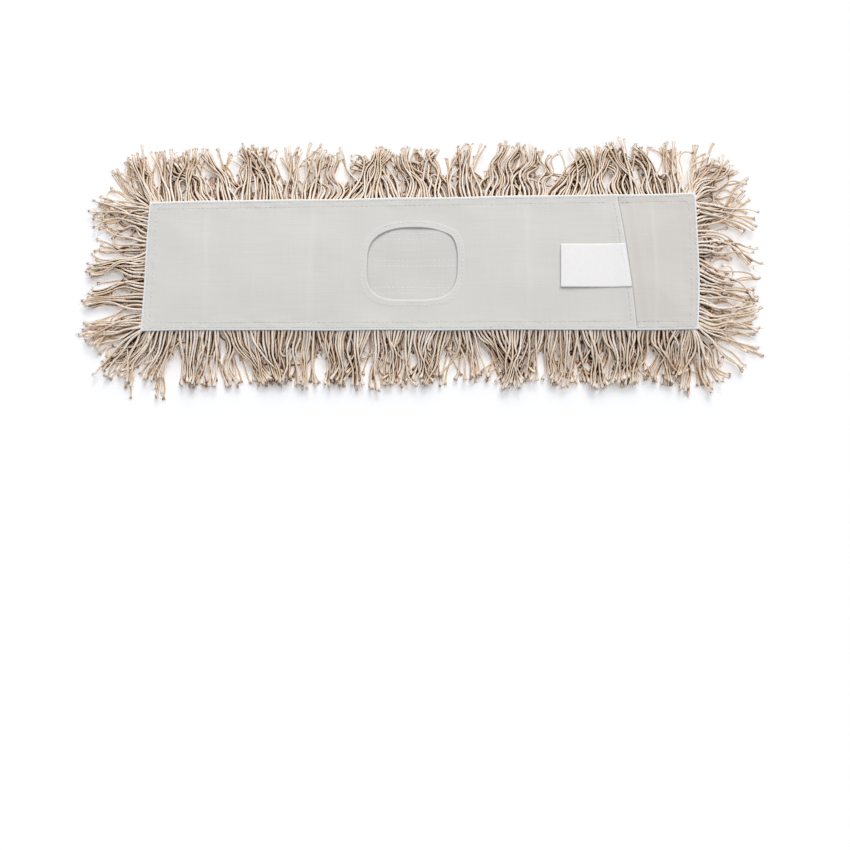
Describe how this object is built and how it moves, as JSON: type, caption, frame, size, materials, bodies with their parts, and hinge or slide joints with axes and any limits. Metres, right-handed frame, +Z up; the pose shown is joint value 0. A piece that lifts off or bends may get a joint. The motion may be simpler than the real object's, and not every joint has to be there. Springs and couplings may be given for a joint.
{
  "type": "dust mop head",
  "caption": "Rectangular dust mop head: a white canvas slip-on pocket with an oval handle opening, over sewn rows of natural cotton yarn, with a loose yarn fringe all round.",
  "frame": {"origin": "middle of the whole outline, on the floor that the yarn rests on", "axes": "+X along the length, -Y the front edge, +Z up out of the canvas side; the yarn faces the floor"},
  "size_m": [0.7752, 0.296, 0.0259],
  "materials": {
    "canvas": "plain-woven bleached cotton canvas, matt",
    "thread": "white sewing thread, matt",
    "label": "smooth coated white label cloth, blank",
    "fringe": "unbleached two-ply cotton yarn with frayed ends, matt",
    "pile": "unbleached two-ply cotton yarn with frayed ends, matt"
  },
  "bodies": {
    "pocket": {"base_cloth": "canvas", "pocket_cover": "canvas", "end_panel": "canvas", "label_margin": "label", "hem_thread": "thread", "opening_thread": "thread", "lap_thread": "thread", "row_thread": "thread", "yarn_row_1": "pile", "yarn_row_2": "pile", "yarn_row_3": "pile", "yarn_row_4": "pile", "yarn_row_5": "pile"},
    "label": {"label_tag": "label"},
    "fringe_front": {"fringe_front": "fringe"},
    "fringe_back": {"fringe_back": "fringe"},
    "fringe_left": {"fringe_left": "fringe"},
    "fringe_right": {"fringe_right": "fringe"},
    "tuft_front_left": {"tuft_front_left": "fringe"},
    "tuft_front_right": {"tuft_front_right": "fringe"},
    "tuft_back_left": {"tuft_back_left": "fringe"},
    "tuft_back_right": {"tuft_back_right": "fringe"}
  },
  "joints": [
    {"name": "label_flip", "type": "hinge", "parent": "pocket", "child": "label", "pos_m": [0.22892, 0, 0.02555], "axis": [-0.1357, 0.9907, 0], "range_deg": [0, 160]},
    {"name": "fringe_front_swing", "type": "hinge", "parent": "pocket", "child": "fringe_front", "pos_m": [0, -0.0798, 0.018], "axis": [-1, 0, 0], "range_deg": [-70, 90]},
    {"name": "fringe_back_swing", "type": "hinge", "parent": "pocket", "child": "fringe_back", "pos_m": [0, 0.0798, 0.018], "axis": [1, 0, 0], "range_deg": [-70, 90]},
    {"name": "fringe_left_swing", "type": "hinge", "parent": "pocket", "child": "fringe_left", "pos_m": [-0.3193, 0, 0.018], "axis": [0, 1, 0], "range_deg": [-70, 90]},
    {"name": "fringe_right_swing", "type": "hinge", "parent": "pocket", "child": "fringe_right", "pos_m": [0.3193, 0, 0.018], "axis": [0, -1, 0], "range_deg": [-70, 90]},
    {"name": "tuft_front_left_swing", "type": "hinge", "parent": "pocket", "child": "tuft_front_left", "pos_m": [-0.31877, -0.07927, 0.018], "axis": [-0.7071, 0.7071, 0], "range_deg": [-45, 20]},
    {"name": "tuft_front_right_swing", "type": "hinge", "parent": "pocket", "child": "tuft_front_right", "pos_m": [0.31877, -0.07927, 0.018], "axis": [-0.7071, -0.7071, 0], "range_deg": [-45, 20]},
    {"name": "tuft_back_left_swing", "type": "hinge", "parent": "pocket", "child": "tuft_back_left", "pos_m": [-0.31877, 0.07927, 0.018], "axis": [0.7071, 0.7071, 0], "range_deg": [-45, 20]},
    {"name": "tuft_back_right_swing", "type": "hinge", "parent": "pocket", "child": "tuft_back_right", "pos_m": [0.31877, 0.07927, 0.018], "axis": [0.7071, -0.7071, 0], "range_deg": [-45, 20]}
  ]
}
